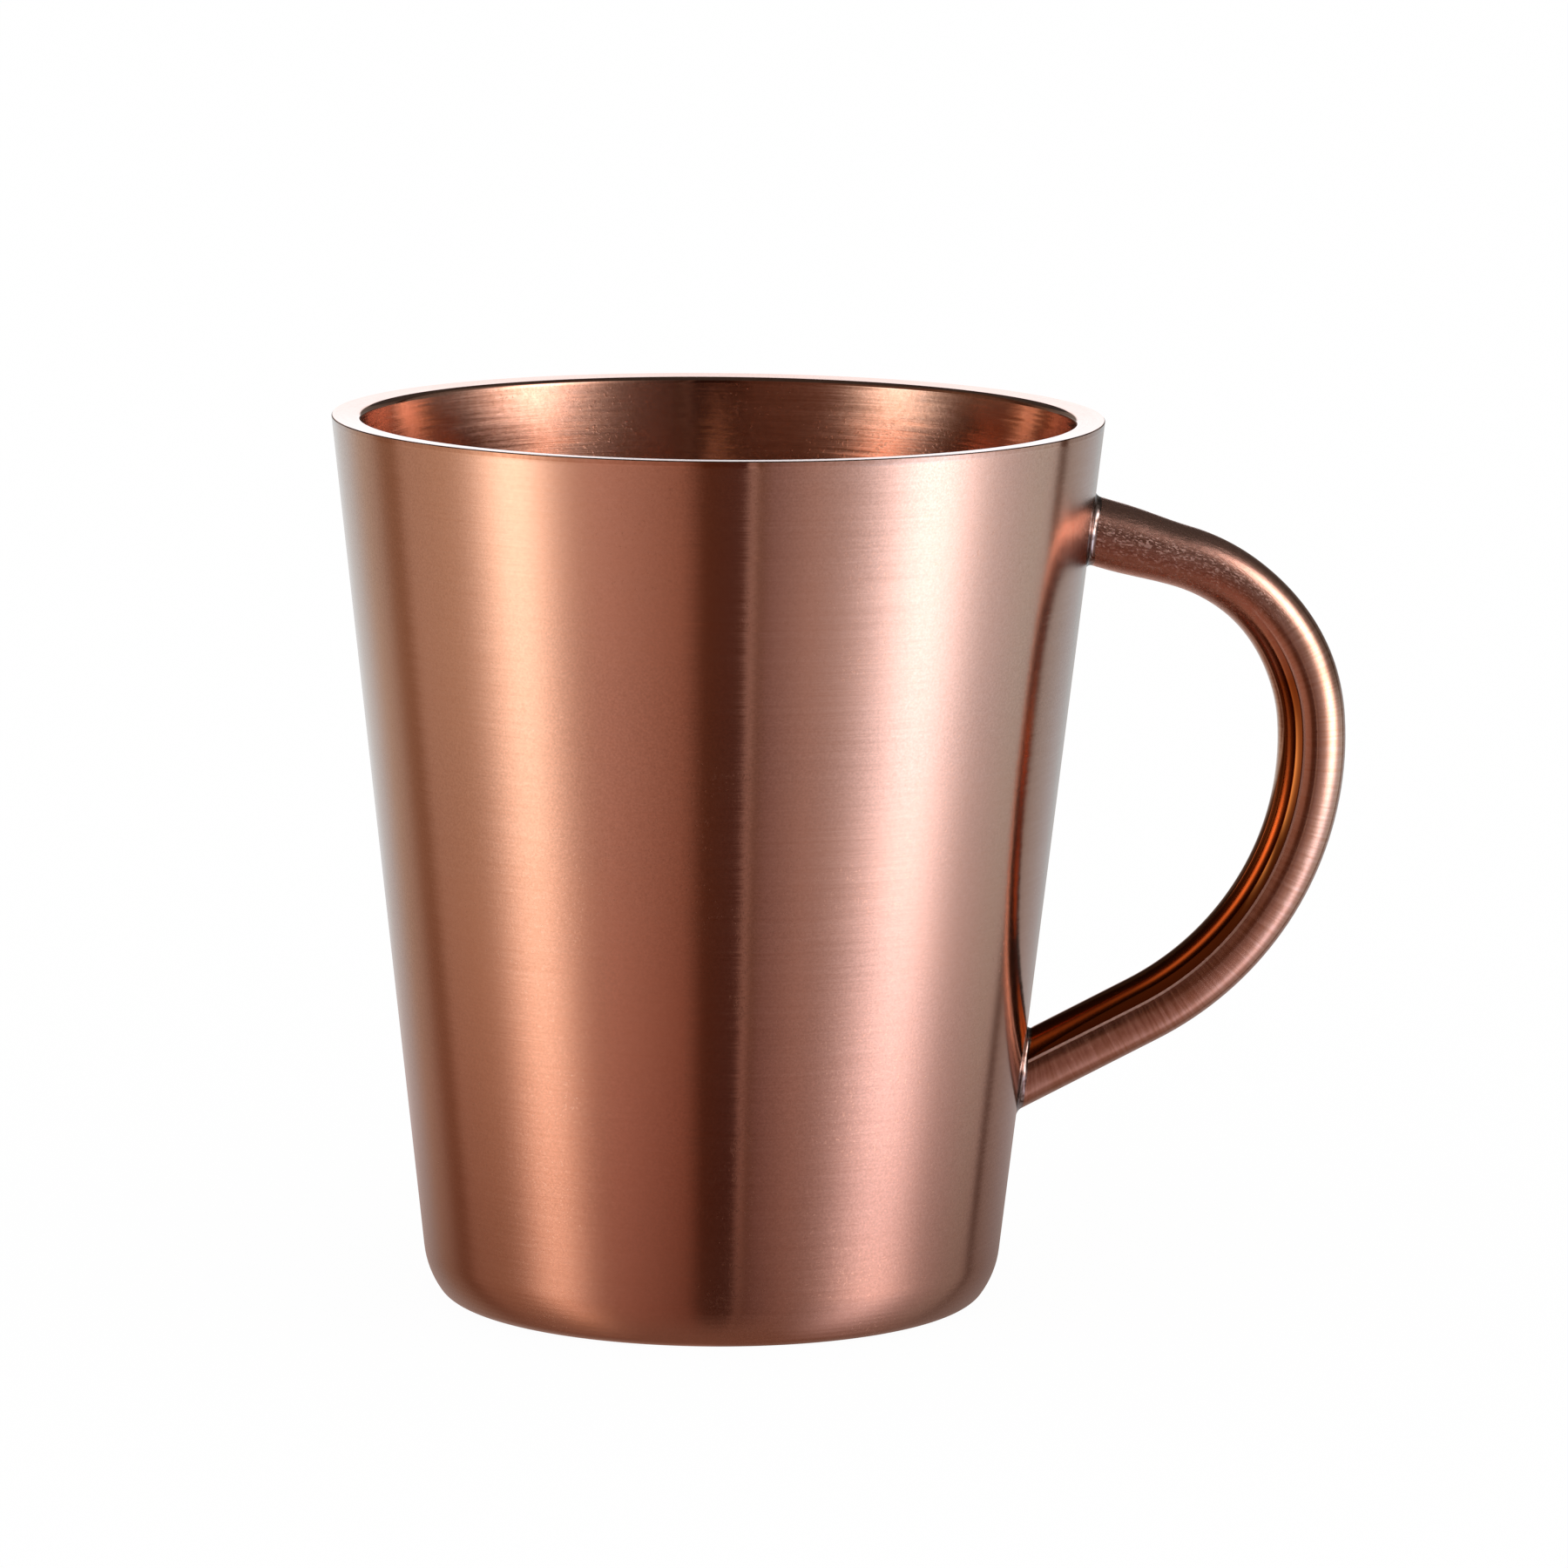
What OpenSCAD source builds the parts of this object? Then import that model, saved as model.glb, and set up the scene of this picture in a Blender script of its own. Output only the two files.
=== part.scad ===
// Double-wall mug with a welded round-tube handle.
// The mug stands on the XY plane, its axis is Z and its handle points along +X.
// An outer shell and an inner cup meet at the rim, a pan closes the base, and the gap between is air.

/* [Cup] */
// Diameter over the rim
rim_d = 90; // [84:0.5:96]
// Height from the resting plane to the rim's outer edge
mug_h = 104; // [98:0.5:110]
// Diameter at which the outer wall's straight line would meet the resting plane
foot_line_d = 66.6; // [63:0.2:70]
// Width of the rim seen from above
lip_w = 3.4; // [3:0.1:4.5]
// How far the rim's inner edge lies below its outer edge
lip_dip = 0.2; // [0:0.05:0.4]
// Radius of the rim's rounded inner edge
lip_r = 0.7; // [0.7:0.1:1.4]

/* [Heel of the outer shell] */
// Radius of the upper, larger arc between wall and base
heel_r = 10; // [8:0.5:12]
// Radius of the lower, tighter arc that rolls under to the foot
toe_r = 2.4; // [1.8:0.1:3]
// Angle below horizontal at which the two arcs meet
turn_a = 35; // [28:1:42]

/* [Sheet metal] */
// Thickness of the outer shell
shell_t = 0.7; // [0.5:0.1:0.9]
// Thickness of the inner cup
cup_t = 0.6; // [0.4:0.1:0.6]
// Height of the drinking space's floor
floor_z = 6.2; // [5.5:0.1:9]
// Radius between the drinking space's wall and floor
floor_corner_r = 8; // [5:0.5:10]

/* [Base pan] */
// Diameter of the opening in the outer shell's foot
foot_open_d = 52; // [46:1:54]
// Thickness of the base pan
pan_t = 0.6; // [0.4:0.1:0.8]
// Height of the pan's recessed underside above the resting plane
pan_recess = 2; // [1.4:0.1:2.4]
// Width of the pan's flange on top of the foot
pan_flange_w = 2.4; // [1.5:0.1:3]
// Width of the sloped step between flange and recess
pan_step_w = 2.2; // [1.6:0.1:3]

/* [Handle] */
// Outside diameter of the handle tube
tube_d = 8; // [7:0.1:8.5]
// Wall thickness of the handle tube
tube_t = 1; // [0.8:0.1:1.5]
// Height at which the tube's centre line leaves the wall, at its upper end
upper_z = 90.8; // [88:0.2:94]
// Angle below horizontal at which the tube leaves the wall
upper_dip = 16; // [10:0.5:20]
// Straight length before the upper bend
upper_run = 11.2; // [9:0.1:12]
// Centre-line radius of the upper, tighter bend
bend1_r = 21.6; // [20:0.1:24]
// Angle of the upper bend
bend1_a = 69.5; // [67:0.5:74]
// Centre-line radius of the lower, wider bend
bend2_r = 36; // [34:0.1:38]
// Angle above horizontal at which the tube leaves the wall, at its lower end
lower_rise = 27.5; // [24:0.5:32]

/* [Welds] */
// Leg of the fillet around each end of the handle
handle_weld_leg = 0.8; // [0.5:0.1:1.2]
// Leg of the seam under the rim
rim_weld_leg = 0.8; // [0.5:0.1:1]
// Leg of the seam around the base pan
base_weld_leg = 0.5; // [0.3:0.1:0.5]

/* [Hidden] */
$fn = 96;

copper = [0.83, 0.56, 0.44];
dark_copper = [0.66, 0.40, 0.29];
weld_copper = [0.90, 0.66, 0.54];

rim_r = rim_d / 2;
tube_r = tube_d / 2;
foot_open_r = foot_open_d / 2;

// The wall gains wall_k of radius for each unit of height.
wall_k = (rim_d - foot_line_d) / 2 / mug_h;
wall_a = atan(wall_k);

// The rim's top face rises lip_k for each unit of radius, and the cup's wall is set in by lip_inset.
lip_k = lip_dip / lip_w;
lip_a = atan(lip_k);
lip_inset = lip_w * cos(wall_a);

// Largest angle between neighbouring points of an outline's arc
arc_step = 6;

// Where the handle's centre line meets the lower wall, and how long its last straight run is
heading2 = upper_dip + bend1_a;
heading3 = 180 - lower_rise;
bend2_a = heading3 - heading2;
bend1_end = [
    wall_radius(upper_z) + upper_run * cos(upper_dip) + bend1_r * (sin(heading2) - sin(upper_dip)),
    upper_z - upper_run * sin(upper_dip) + bend1_r * (cos(heading2) - cos(upper_dip))
];
bend2_end = bend1_end + bend2_r * [sin(heading3) - sin(heading2), cos(heading3) - cos(heading2)];
lower_run = (bend2_end[0] - wall_radius(bend2_end[1])) / (-cos(heading3) - wall_k * sin(heading3));
lower_z = bend2_end[1] - lower_run * sin(heading3);

// The tube's ends start this far inside the wall, and the wall's own form cuts them to fit.
tube_stub = tube_r + 4;

// Lengths of the handle lap by lap and differ by lap_step in radius, so that no two faces coincide.
lap = 0.2;
lap_step = 0.01;

// Rings and arc points of a handle weld
weld_steps = 60;
weld_arc = [0:30:90];

// Outer radius of the cup's straight wall at a height
function wall_radius(z) = rim_r - wall_k * (mug_h - z);

// Radius of a wall line parallel to the outer wall, set in by t
function wall_line(z, t) = wall_radius(z) - t / cos(wall_a);

// Height of the rim's top face, set down by t
function lip_line(r, t) = mug_h - lip_k * (rim_r - r) - t / cos(lip_a);

// Corner where a wall line set in by inset meets the rim's top face set down by t
function lip_corner(inset, t) =
    let (r = (wall_line(mug_h, inset) - wall_k * (mug_h - lip_line(0, t))) / (1 - wall_k * lip_k))
    [r, lip_line(r, t)];

// Points of an arc about c, from angle a0 to angle a1
function arc(c, r, a0, a1) =
    let (n = ceil(abs(a1 - a0) / arc_step))
    [for (i = [0:n]) c + r * [cos(a0 + (a1 - a0) * i / n), sin(a0 + (a1 - a0) * i / n)]];

function reversed(points) = [for (i = [len(points) - 1:-1:0]) points[i]];

// The shell's heel, from the foot up to the wall, set in by t: the tighter arc, then the larger one
function heel(t) =
    let (
        c1_z = toe_r + (heel_r - toe_r) * sin(turn_a),
        c1 = [wall_radius(c1_z) - heel_r / cos(wall_a), c1_z],
        c2 = c1 + (heel_r - toe_r) * [cos(turn_a), -sin(turn_a)]
    )
    [
        each arc(c2, toe_r - t, -90, -turn_a - arc_step),
        each arc(c1, heel_r - t, -turn_a, -wall_a)
    ];

// The rounded corner between the cup's floor and wall, grown into the metal by t
function floor_corner(t) =
    let (c_z = floor_z + floor_corner_r)
    arc([wall_line(c_z, lip_inset + floor_corner_r), c_z], floor_corner_r + t, -90, -wall_a);

// The rim's rounded inner edge, from the cup's wall up to the rim's top face, grown into the metal by t
function lip_edge(t) = arc(lip_corner(lip_inset - lip_r, lip_r), lip_r - t, 180 - wall_a, 90 + lip_a);

module outer_shell() {
    color(copper) rotate_extrude() polygon([
        [foot_open_r, 0],
        each heel(0),
        lip_corner(0, cup_t),
        lip_corner(shell_t, cup_t),
        each reversed(heel(shell_t)),
        [foot_open_r, shell_t]
    ]);
}

module inner_cup() {
    color(dark_copper) rotate_extrude() polygon([
        [0, floor_z],
        each floor_corner(0),
        each lip_edge(0),
        lip_corner(0, 0),
        lip_corner(0, cup_t),
        each reversed(lip_edge(cup_t)),
        each reversed(floor_corner(cup_t)),
        [0, floor_z - cup_t]
    ]);
}

module base_pan() {
    step_r = foot_open_r - 1;
    color(dark_copper) rotate_extrude() polygon([
        [0, pan_recess],
        [step_r - pan_step_w, pan_recess],
        [step_r, shell_t],
        [foot_open_r + pan_flange_w, shell_t],
        [foot_open_r + pan_flange_w, shell_t + pan_t],
        [step_r, shell_t + pan_t],
        [step_r - pan_step_w, pan_recess + pan_t],
        [0, pan_recess + pan_t]
    ]);
}

// Seam inside the gap, where the shell's top edge meets the underside of the cup's flange
module rim_weld() {
    corner = lip_corner(shell_t, cup_t);
    color(weld_copper) rotate_extrude() polygon([
        corner,
        [corner[0] - rim_weld_leg, lip_line(corner[0] - rim_weld_leg, cup_t)],
        corner - rim_weld_leg * [wall_k, 1]
    ]);
}

// Seam between the shell's cut edge and the pan's flange
module base_weld() {
    color(weld_copper) rotate_extrude() polygon([
        [foot_open_r, shell_t],
        [foot_open_r - base_weld_leg, shell_t],
        [foot_open_r, shell_t - base_weld_leg]
    ]);
}

// A straight length of round bar from the origin along +X
module bar(length, r) {
    rotate([0, 90, 0]) cylinder(h = length, r = r);
}

// A bend of round bar that starts at the origin along +X, turns down by angle a, and is grown by
// angle more at both ends
module bend(bend_r, a, r, more = 0) {
    translate([0, 0, -bend_r]) rotate([90, 0, 0]) rotate(90 - a - more)
        rotate_extrude(angle = a + 2 * more) translate([bend_r, 0]) circle(r);
}

// Moves its children to the far end of such a bend
module past_bend(bend_r, a) {
    translate([bend_r * sin(a), 0, bend_r * (cos(a) - 1)]) rotate([0, a, 0]) children();
}

// The handle's whole path as round bar of radius r, running into the wall at both ends. Every second
// length is the slimmer one, and it laps into its neighbours.
module handle_bar(r) {
    slim_r = r - lap_step;
    translate([wall_radius(upper_z), 0, upper_z]) rotate([0, upper_dip, 0]) {
        translate([-tube_stub, 0, 0]) bar(tube_stub + upper_run + lap, slim_r);
        translate([upper_run, 0, 0]) {
            bend(bend1_r, bend1_a, r);
            past_bend(bend1_r, bend1_a) {
                bend(bend2_r, bend2_a, slim_r, lap / bend2_r * 180 / PI);
                past_bend(bend2_r, bend2_a) bar(lower_run + tube_stub, r);
            }
        }
    }
}

// The space inside the outer wall's line
module wall_cone() {
    cylinder(h = mug_h, r1 = foot_line_d / 2, r2 = rim_r);
}

module handle_tube() {
    color(copper) difference() {
        handle_bar(tube_r);
        handle_bar(tube_r - tube_t);
        wall_cone();
    }
}

// Distance along a line parallel to the tube, from the joint's plane to the conical wall.
// p is a point on the line, and rise the tube's angle above horizontal as it leaves the wall.
function to_wall(p, rise) =
    let (
        w = wall_radius(p[2]),
        a = pow(cos(rise), 2) - pow(wall_k * sin(rise), 2),
        b = 2 * (p[0] * cos(rise) - wall_k * sin(rise) * w),
        c = p[0] * p[0] + p[1] * p[1] - w * w
    )
    (-b + sqrt(b * b - 4 * a * c)) / (2 * a);

// A point of a handle weld: out from the tube by grow, along it by lift, at angle f around it
function weld_point(z, rise, f, grow, lift) =
    let (
        rho = tube_r + grow,
        p = [wall_radius(z) - rho * sin(f) * sin(rise), rho * cos(f), z + rho * sin(f) * cos(rise)],
        s = to_wall(p, rise) + lift
    )
    p + s * [cos(rise), 0, sin(rise)];

// Hollow-faced fillet around the tube where it stands on the wall at height z
module handle_weld(z, rise) {
    leg = handle_weld_leg;
    section = [[0, 0], for (t = weld_arc) leg * [1 - sin(t), 1 - cos(t)]];
    n = len(section);
    points = [
        for (i = [0:weld_steps - 1]) for (q = section)
            weld_point(z, rise, 360 * i / weld_steps, q[0], q[1])
    ];
    faces = [
        for (i = [0:weld_steps - 1]) for (j = [0:n - 1])
            let (a = i * n, b = (i + 1) % weld_steps * n, k = (j + 1) % n)
            each [[a + j, b + k, b + j], [a + j, a + k, b + k]]
    ];
    color(weld_copper) polyhedron(points, faces);
}

module handle_weld_upper() {
    handle_weld(upper_z, -upper_dip);
}

module handle_weld_lower() {
    handle_weld(lower_z, lower_rise);
}

outer_shell();
inner_cup();
base_pan();
rim_weld();
base_weld();
handle_tube();
handle_weld_upper();
handle_weld_lower();
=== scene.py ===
import math

import bpy
from mathutils import Matrix, Vector


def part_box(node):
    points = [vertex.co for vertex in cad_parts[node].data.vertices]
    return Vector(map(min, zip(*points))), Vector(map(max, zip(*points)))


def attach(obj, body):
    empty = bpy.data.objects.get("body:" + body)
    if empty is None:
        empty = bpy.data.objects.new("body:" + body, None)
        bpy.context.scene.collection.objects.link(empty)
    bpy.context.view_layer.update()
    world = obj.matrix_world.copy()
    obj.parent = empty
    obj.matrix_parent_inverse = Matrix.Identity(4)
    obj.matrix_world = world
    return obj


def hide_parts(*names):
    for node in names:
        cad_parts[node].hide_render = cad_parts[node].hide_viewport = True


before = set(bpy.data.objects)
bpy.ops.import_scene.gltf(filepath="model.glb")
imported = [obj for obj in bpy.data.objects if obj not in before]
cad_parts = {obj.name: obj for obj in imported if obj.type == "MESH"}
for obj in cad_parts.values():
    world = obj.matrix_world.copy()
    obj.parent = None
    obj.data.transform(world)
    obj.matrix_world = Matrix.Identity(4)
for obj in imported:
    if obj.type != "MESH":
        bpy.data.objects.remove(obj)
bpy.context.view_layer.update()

MM = 0.001


# ---------------------------------------------------------------------------------------------
# Sizes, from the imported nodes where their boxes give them
# ---------------------------------------------------------------------------------------------

cup_low, cup_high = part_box("inner_cup")
weld_low, weld_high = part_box("base_weld")
pan_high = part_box("base_pan")[1]
tube_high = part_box("handle_tube")[1]

RIM_R = cup_high.x
MUG_H = cup_high.z
SHELL_T = weld_high.z
FOOT_OPEN_R = weld_high.x
BASE_WELD_LEG = weld_high.z - weld_low.z
PAN_R = pan_high.x
PAN_TOP = pan_high.z
TUBE_R = tube_high.y

FOOT_LINE_R = 33.3 * MM
LIP_W = 3.4 * MM
LIP_DIP = 0.2 * MM
LIP_R = 0.7 * MM
HEEL_R = 10 * MM
TOE_R = 2.4 * MM
TURN_A = math.radians(35)
CUP_T = 0.6 * MM
FLOOR_Z = cup_low.z + CUP_T
FLOOR_CORNER_R = 8 * MM
PAN_T = 0.6 * MM
PAN_RECESS = PAN_TOP - PAN_T
PAN_STEP_W = 2.2 * MM
PAN_LEDGE = 1 * MM

# The handle's centre line
TUBE_T = 1 * MM
UPPER_Z = 90.8 * MM
UPPER_DIP = math.radians(16)
UPPER_RUN = 11.2 * MM
BEND1_R = 21.6 * MM
BEND1_A = math.radians(69.5)
BEND2_R = 36 * MM
LOWER_RISE = math.radians(27.5)
HANDLE_WELD_LEG = 0.8 * MM

# How far the tube is flattened round the upper bend, and the arc lengths at which that begins, is
# complete, begins to fade and has faded
FLAT = 0.085
FLAT_AT = [3 * MM, 11 * MM, 19 * MM, 33 * MM]
# The bent tube is slightly oval: its share, the direction of its wider way from outward towards the
# front, and the arc length over which it begins and ends
OVAL = 0.055
OVAL_TURN = math.radians(15)
OVAL_EASE = 16 * MM

WALL_K = (RIM_R - FOOT_LINE_R) / MUG_H
WALL_A = math.atan(WALL_K)
LIP_K = LIP_DIP / LIP_W
LIP_A = math.atan(LIP_K)
LIP_INSET = LIP_W * math.cos(WALL_A)

# Mesh fineness
TURNS = 288
ARC_STEP = math.radians(4)
SUPPORT = 0.12 * MM
TUBE_SIDES = 96
BEND_STEP = math.radians(1.8)
BEAD_STEPS = 144
BEAD_FACETS = 8
# How far the ends of the tube and the beads reach into the wall
SUNK = 0.05 * MM


# ---------------------------------------------------------------------------------------------
# Outlines, as (radius, height) points
# ---------------------------------------------------------------------------------------------

def wall_radius(z):
    return RIM_R - WALL_K * (MUG_H - z)


def wall_line(z, inset):
    """Radius of a line parallel to the outer wall, set in by inset."""
    return wall_radius(z) - inset / math.cos(WALL_A)


def lip_line(r, t):
    """Height of the rim's top face, set down by t."""
    return MUG_H - LIP_K * (RIM_R - r) - t / math.cos(LIP_A)


def lip_corner(inset, t):
    """Where a wall line set in by inset meets the rim's top face set down by t."""
    r = (wall_line(MUG_H, inset) - WALL_K * (MUG_H - lip_line(0, t))) / (1 - WALL_K * LIP_K)
    return (r, lip_line(r, t))


def arc(c, r, a0, a1, step=ARC_STEP):
    n = max(2, math.ceil(abs(a1 - a0) / step))
    angles = [a0 + (a1 - a0) * i / n for i in range(n + 1)]
    return [(c[0] + r * math.cos(a), c[1] + r * math.sin(a)) for a in angles]


def heel(t):
    """The shell's heel from the foot up to the wall, set in by t."""
    c1_z = TOE_R + (HEEL_R - TOE_R) * math.sin(TURN_A)
    c1 = (wall_radius(c1_z) - HEEL_R / math.cos(WALL_A), c1_z)
    reach = HEEL_R - TOE_R
    c2 = (c1[0] + reach * math.cos(TURN_A), c1[1] - reach * math.sin(TURN_A))
    toe = arc(c2, TOE_R - t, -math.pi / 2, -TURN_A)
    return toe[:-1] + arc(c1, HEEL_R - t, -TURN_A, -WALL_A)


def floor_corner(t):
    c_z = FLOOR_Z + FLOOR_CORNER_R
    c = (wall_line(c_z, LIP_INSET + FLOOR_CORNER_R), c_z)
    return arc(c, FLOOR_CORNER_R + t, -math.pi / 2, -WALL_A)


def lip_edge(t):
    c = lip_corner(LIP_INSET - LIP_R, LIP_R)
    return arc(c, LIP_R - t, math.pi - WALL_A, math.pi / 2 + LIP_A, ARC_STEP * 2)


def rounded(points, radii):
    """A closed outline with each corner that has a radius rounded to it."""
    out = []
    for i, (p, radius) in enumerate(zip(points, radii)):
        p = Vector(p)
        before, after = Vector(points[i - 1]) - p, Vector(points[(i + 1) % len(points)]) - p
        if not radius or before.length < 1e-9 or after.length < 1e-9:
            out.append(tuple(p))
            continue
        before.normalize()
        after.normalize()
        half = math.acos(max(-1, min(1, before.dot(after)))) / 2
        back = radius / math.tan(half)
        centre = p + (before + after).normalized() * (radius / math.sin(half))
        start, end = p + before * back - centre, p + after * back - centre
        swing = math.atan2(start.x * end.y - start.y * end.x, start.dot(end))
        a0 = math.atan2(start.y, start.x)
        out += arc(tuple(centre), radius, a0, a0 + swing, ARC_STEP * 3)
    return out


def supported(points, longest=8 * MM):
    """Adds a point close to both ends of each long straight stretch, so that smooth shading stays
    true there, and divides what is longer than longest."""
    out = []
    for i, p in enumerate(points):
        q = points[(i + 1) % len(points)]
        length = math.dist(p, q)
        out.append(p)
        if length < 4 * SUPPORT:
            continue
        parts = max(1, round(length / longest))
        shares = [SUPPORT / length]
        shares += [k / parts for k in range(1, parts)]
        shares.append(1 - SUPPORT / length)
        out += [(p[0] + (q[0] - p[0]) * s, p[1] + (q[1] - p[1]) * s) for s in shares]
    return out


# ---------------------------------------------------------------------------------------------
# Meshes
# ---------------------------------------------------------------------------------------------

def add_piece(name, vertices, faces, material, node, sharp=math.radians(40)):
    mesh = bpy.data.meshes.new(name)
    mesh.from_pydata(vertices, [], faces)
    mesh.validate()
    mesh.polygons.foreach_set("use_smooth", [True] * len(mesh.polygons))
    mesh.set_sharp_from_angle(angle=sharp)
    mesh.materials.append(material)
    piece = bpy.data.objects.new(name, mesh)
    bpy.context.scene.collection.objects.link(piece)
    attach(piece, "root")
    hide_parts(node)
    return piece


def lathe(name, outline, material, node, turns=TURNS):
    """A closed outline turned about Z. Points on the axis become one vertex each."""
    on_axis = [p[0] < 1e-7 for p in outline]
    vertices, first = [], []
    for (r, z), axial in zip(outline, on_axis):
        first.append(len(vertices))
        if axial:
            vertices.append((0, 0, z))
            continue
        for k in range(turns):
            a = 2 * math.pi * k / turns
            vertices.append((r * math.cos(a), r * math.sin(a), z))
    faces = []
    for i in range(len(outline)):
        j = (i + 1) % len(outline)
        if on_axis[i] and on_axis[j]:
            continue
        for k in range(turns):
            m = (k + 1) % turns
            if on_axis[i]:
                faces.append((first[i], first[j] + m, first[j] + k))
            elif on_axis[j]:
                faces.append((first[i] + k, first[i] + m, first[j]))
            else:
                faces.append((first[i] + k, first[i] + m, first[j] + m, first[j] + k))
    return add_piece(name, vertices, faces, material, node)


# ---------------------------------------------------------------------------------------------
# Handle
# ---------------------------------------------------------------------------------------------

def along(heading):
    """Unit vector of a heading, an angle below +X in the XZ plane."""
    return Vector((math.cos(heading), 0, -math.sin(heading)))


def outward(heading):
    return Vector((math.sin(heading), 0, math.cos(heading)))


def eased(value, low, high):
    t = min(1, max(0, (value - low) / (high - low)))
    return t * t * (3 - 2 * t)


def flatness(length):
    """Share of its height that the tube has lost at an arc length."""
    return FLAT * eased(length, *FLAT_AT[:2]) * (1 - eased(length, *FLAT_AT[2:]))


def handle_line():
    """(point, heading) along the handle's centre line; also its two ends on the wall."""
    turn1 = UPPER_DIP + BEND1_A
    turn2 = math.pi - LOWER_RISE
    start = Vector((wall_radius(UPPER_Z), 0, UPPER_Z))
    line = []

    def straight(p, heading, stations):
        line.extend((p + along(heading) * s, heading) for s in stations)

    def bend(p, bend_r, h0, h1):
        centre = p - outward(h0) * bend_r
        steps = math.ceil((h1 - h0) / BEND_STEP)
        for i in range(1, steps + 1):
            h = h0 + (h1 - h0) * i / steps
            line.append((centre + outward(h) * bend_r, h))
        return line[-1][0]

    first = 3 * MM
    straight(start, UPPER_DIP, [first + (UPPER_RUN - first) * k / 12 for k in range(13)])
    corner1 = bend(line[-1][0], BEND1_R, UPPER_DIP, turn1)
    corner2 = bend(corner1, BEND2_R, turn1, turn2)
    drop = -along(turn2).x - WALL_K * -along(turn2).z
    run = (corner2.x - wall_radius(corner2.z)) / drop
    last = run - 5 * MM
    straight(corner2, turn2, [last * k / 6 for k in range(1, 7)])
    end = corner2 + along(turn2) * run
    return start, line, end


def to_wall(p, direction):
    """Distance from p along direction to the conical outer wall."""
    w = wall_radius(p.z)
    a = direction.x ** 2 + direction.y ** 2 - (WALL_K * direction.z) ** 2
    b = 2 * (p.x * direction.x + p.y * direction.y - WALL_K * direction.z * w)
    c = p.x ** 2 + p.y ** 2 - w ** 2
    root = math.sqrt(b * b - 4 * a * c)
    return min((-b + root) / (2 * a), (-b - root) / (2 * a), key=abs)


def handle_sections(radius, around):
    """Rings of points along the handle for a tube of this radius; the end rings lie just inside the
    wall's face. Also the arc length of each ring."""
    start, line, end = handle_line()
    rings, lengths = [], []
    travelled = (line[0][0] - start).length

    whole = travelled + sum((b[0] - a[0]).length for a, b in zip(line, line[1:]))
    whole += (end - line[-1][0]).length

    def ring(p, heading, length, slide=0):
        points = []
        flat = flatness(length)
        oval = OVAL * eased(min(length, whole - length), 0, OVAL_EASE)
        for k in range(around):
            b = 2 * math.pi * k / around
            r = radius * (1 + oval * math.cos(2 * (b + OVAL_TURN))) / (1 + oval)
            q = p + outward(heading) * (r * (1 - flat) * math.cos(b))
            q += Vector((0, r * (1 + flat / 3) * math.sin(b), 0))
            if slide:
                direction = along(heading) * slide
                q += direction * (to_wall(q, direction) + SUNK)
            points.append(q)
        return points

    rings.append(ring(start, line[0][1], 0, -1))
    lengths.append(0)
    before = line[0][0]
    for p, heading in line:
        travelled += (p - before).length
        before = p
        rings.append(ring(p, heading, travelled))
        lengths.append(travelled)
    travelled += (end - before).length
    rings.append(ring(end, line[-1][1], travelled, 1))
    lengths.append(travelled)
    return rings, lengths


def make_handle(material):
    around = TUBE_SIDES
    outer, lengths = handle_sections(TUBE_R, around)
    inner, _ = handle_sections(TUBE_R - TUBE_T, around)
    rings = outer + inner[::-1]
    stations = lengths + lengths[::-1]
    vertices = [q for ring in rings for q in ring]
    faces = []
    for i in range(len(rings)):
        j = (i + 1) % len(rings)
        for k in range(around):
            m = (k + 1) % around
            faces.append((i * around + k, i * around + m, j * around + m, j * around + k))
    piece = add_piece("polished_handle", vertices, faces, material, "handle_tube")
    mesh = piece.data

    # strand: arc length, then the place in the tube's section, sideways and outwards
    strand = mesh.attributes.new("strand", "FLOAT_VECTOR", "POINT")
    values = []
    for station in stations:
        for k in range(around):
            b = 2 * math.pi * k / around
            values += [station, TUBE_R * math.sin(b), TUBE_R * math.cos(b)]
    strand.data.foreach_set("vector", values)

    uv = mesh.uv_layers.new(name="wrap")
    for polygon in mesh.polygons:
        columns = [v % around for v in polygon.vertices]
        wraps = max(columns) - min(columns) > around / 2
        for loop, vertex, column in zip(polygon.loop_indices, polygon.vertices, columns):
            v = (column + around if wraps and column == 0 else column) / around
            uv.data[loop].uv = (stations[vertex // around] / (MUG_H * 2), v)


def make_weld(name, z, heading, material, node):
    """Hollow-faced fillet around one end of the handle. heading points from the wall outwards."""
    steps = BEAD_STEPS
    centre = Vector((wall_radius(z), 0, z))
    direction = along(heading)
    leg = HANDLE_WELD_LEG
    arc_angles = [math.pi / 2 * k / BEAD_FACETS for k in range(BEAD_FACETS + 1)]
    section = [(leg * (1 - math.sin(a)), leg * (1 - math.cos(a))) for a in arc_angles]
    section += [(-SUNK, leg), (-SUNK, -SUNK), (leg, -SUNK)]
    vertices = []
    for i in range(steps):
        b = 2 * math.pi * i / steps
        side = outward(heading) * math.cos(b) + Vector((0, math.sin(b), 0))
        # hand-run bead: its leg swells and shrinks a little on the way round
        swell = 1 + 0.10 * math.sin(3 * b + z / MM) + 0.06 * math.sin(7 * b)
        for grow, lift in section:
            grow = grow * swell if grow > 0 else grow
            lift = lift * swell if lift > 0 else lift
            p = centre + side * (TUBE_R + grow)
            vertices.append(p + direction * (to_wall(p, direction) + lift))
    n = len(section)
    faces = []
    for i in range(steps):
        j = (i + 1) % steps
        for k in range(n):
            m = (k + 1) % n
            faces.append((i * n + k, i * n + m, j * n + m, j * n + k))
    return add_piece(name, vertices, faces, material, node)


# ---------------------------------------------------------------------------------------------
# Materials
# ---------------------------------------------------------------------------------------------

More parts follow.
